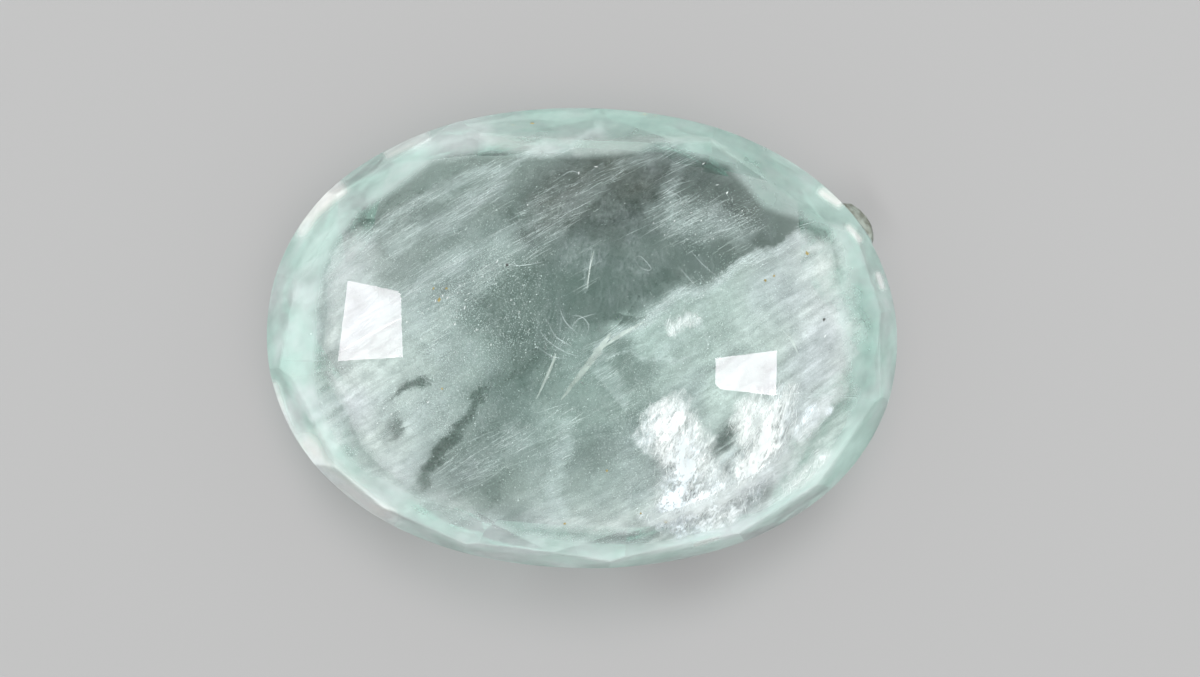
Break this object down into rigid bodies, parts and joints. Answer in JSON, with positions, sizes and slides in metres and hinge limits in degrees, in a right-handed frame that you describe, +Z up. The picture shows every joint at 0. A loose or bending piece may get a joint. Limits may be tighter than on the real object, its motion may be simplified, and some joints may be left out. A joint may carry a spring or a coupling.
{
  "type": "emerald gemstone",
  "caption": "Oval faceted emerald, pale bluish green and clear but heavily included, with a step-cut pointed side, a thin wavy girdle and a flat table, lying on its table.",
  "frame": {"origin": "middle of the oval outline, on the plane of the table, which is the flat face that the stone lies on", "axes": "+X along the long way of the oval, +Y along the short way, +Z up from the table towards the culet"},
  "size_m": [0.014, 0.0102, 0.0055],
  "materials": {
    "emerald": "polished, transparent, pale bluish green"
  },
  "bodies": {
    "root": {"emerald_crystal": "emerald"}
  },
  "joints": []
}
